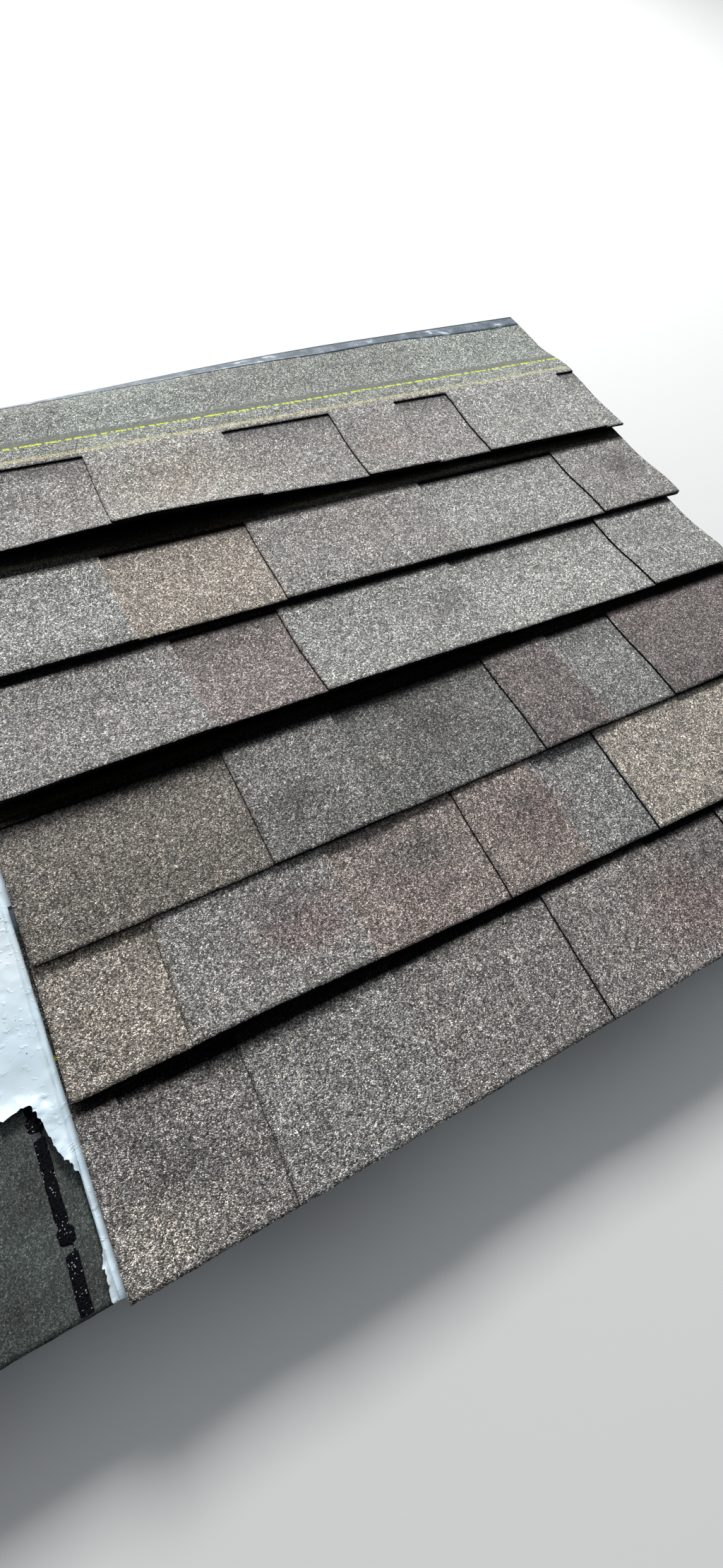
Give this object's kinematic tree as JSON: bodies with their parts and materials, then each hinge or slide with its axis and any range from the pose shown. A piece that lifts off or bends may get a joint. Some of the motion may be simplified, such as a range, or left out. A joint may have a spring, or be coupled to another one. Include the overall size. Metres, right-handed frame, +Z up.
{
  "type": "asphalt shingle bundles with fanned shingles",
  "caption": "Layer of film-wrapped asphalt roof shingle bundles, one wrapper torn open, with laminated toothed shingles fanned out in overlapping courses on top.",
  "frame": {"origin": "centre of the underside of the second bundle from the left, on the floor", "axes": "+X along the fanned shingles, +Y up the fan from butt edges to headlaps, +Z up"},
  "size_m": [1.3992, 1.096, 0.1255],
  "materials": {
    "granules": "granulated asphalt, rough",
    "backing": "granulated asphalt backing strip, rough",
    "mineral_back": "fine mineral-dusted asphalt back",
    "sealant": "glossy bitumen sealant",
    "release_film": "thin shiny release film",
    "wrapper_film": "white crinkled polyethylene film",
    "stack": "cut edges of stacked asphalt shingles"
  },
  "bodies": {
    "root": {"toothed_sheet_1": "granules", "backing_strip_1": "backing", "toothed_sheet_2": "granules", "backing_strip_2": "backing", "toothed_sheet_3": "granules", "backing_strip_3": "backing", "toothed_sheet_4": "granules", "backing_strip_4": "backing", "toothed_sheet_5": "granules", "backing_strip_5": "backing", "toothed_sheet_6": "granules", "backing_strip_6": "backing", "release_films": "release_film", "sealant_strips": "sealant", "wrapped_stacks": "stack", "opened_stack": "stack", "facedown_toothed_sheet": "mineral_back", "facedown_backing_strip": "mineral_back", "facedown_sealant": "sealant", "bundle_wrappers": "wrapper_film", "torn_wrapper": "wrapper_film"}
  },
  "joints": []
}
